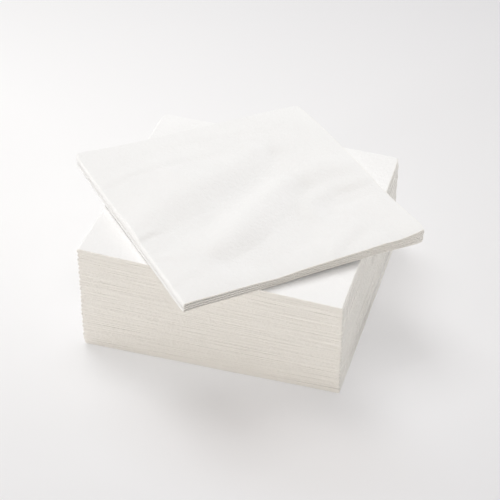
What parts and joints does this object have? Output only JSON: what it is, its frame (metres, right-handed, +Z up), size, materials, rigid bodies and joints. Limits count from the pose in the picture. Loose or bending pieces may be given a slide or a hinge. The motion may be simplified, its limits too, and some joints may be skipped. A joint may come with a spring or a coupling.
{
  "type": "stack of paper napkins",
  "caption": "Squared stack of white quarter-folded paper napkins, with a few more laid on top turned like a diamond; for table service and wiping.",
  "frame": {"origin": "middle of the lower stack's underside, on the surface that it stands on", "axes": "+Z up; -X towards the folded spines of the lower stack, -Y towards the cut edges that the picture shows in front"},
  "size_m": [0.2334, 0.2337, 0.0816],
  "materials": {
    "napkin_paper": "matt, soft embossed tissue"
  },
  "bodies": {
    "root": {"stack_napkin_01": "napkin_paper", "stack_napkin_02": "napkin_paper", "stack_napkin_03": "napkin_paper", "stack_napkin_04": "napkin_paper", "stack_napkin_05": "napkin_paper", "stack_napkin_06": "napkin_paper", "stack_napkin_07": "napkin_paper", "stack_napkin_08": "napkin_paper", "stack_napkin_09": "napkin_paper", "stack_napkin_10": "napkin_paper", "stack_napkin_11": "napkin_paper", "stack_napkin_12": "napkin_paper", "stack_napkin_13": "napkin_paper", "stack_napkin_14": "napkin_paper", "stack_napkin_15": "napkin_paper", "stack_napkin_16": "napkin_paper", "stack_napkin_17": "napkin_paper", "stack_napkin_18": "napkin_paper", "stack_napkin_19": "napkin_paper", "stack_napkin_20": "napkin_paper", "stack_napkin_21": "napkin_paper", "stack_napkin_22": "napkin_paper", "stack_napkin_23": "napkin_paper", "turned_napkin_lower": "napkin_paper", "turned_napkin_upper": "napkin_paper"}
  },
  "joints": []
}
